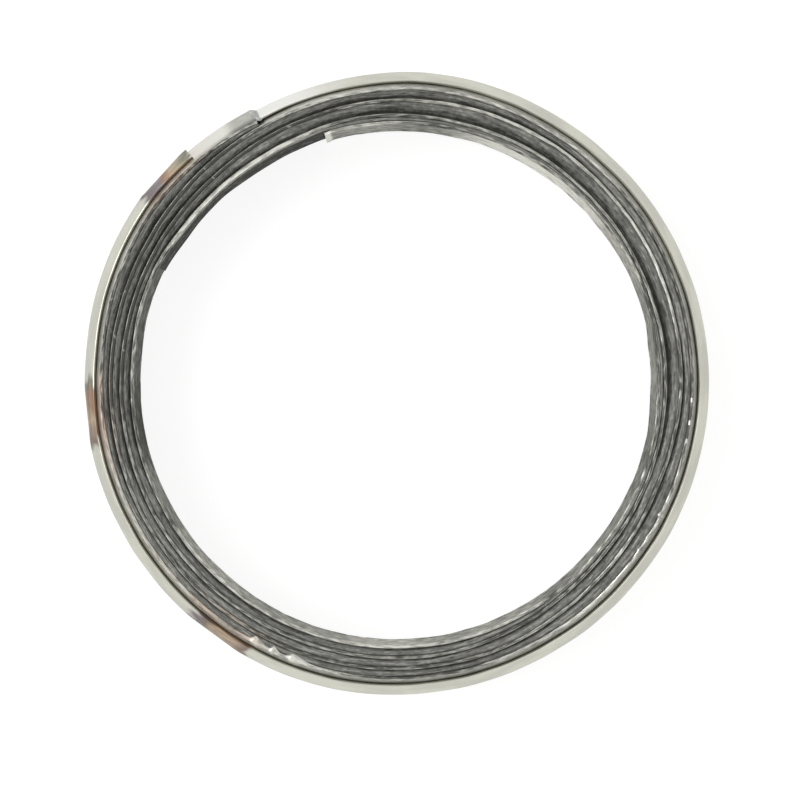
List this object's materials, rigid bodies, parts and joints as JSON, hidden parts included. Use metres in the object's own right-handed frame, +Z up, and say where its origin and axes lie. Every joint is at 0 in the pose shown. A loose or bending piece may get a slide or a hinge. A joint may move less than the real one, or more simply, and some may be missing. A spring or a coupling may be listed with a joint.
{
  "type": "spiral wound exhaust gasket",
  "caption": "Thin flat ring seal wound from a V-section steel strip and dark graphite tape, with a narrower steel band closed round its outside by heat-tinted spot welds.",
  "frame": {"origin": "centre of the ring on the plane that its lower face rests on", "axes": "+Z up along the ring's axis, through its thickness; the strip's inner end lies 106 degrees anticlockwise from +X, seen from above"},
  "size_m": [0.0429, 0.0428, 0.0053],
  "materials": {
    "strip_steel": "dull rolled stainless steel with sheared edges",
    "graphite": "dark grey pressed flexible graphite, streaked along the winding",
    "band_steel": "bright rolled stainless steel with straw, brown and purple heat tints at three spot welds"
  },
  "bodies": {
    "root": {"metal_strip": "strip_steel", "graphite_filler": "graphite", "closing_band": "band_steel"}
  },
  "joints": []
}
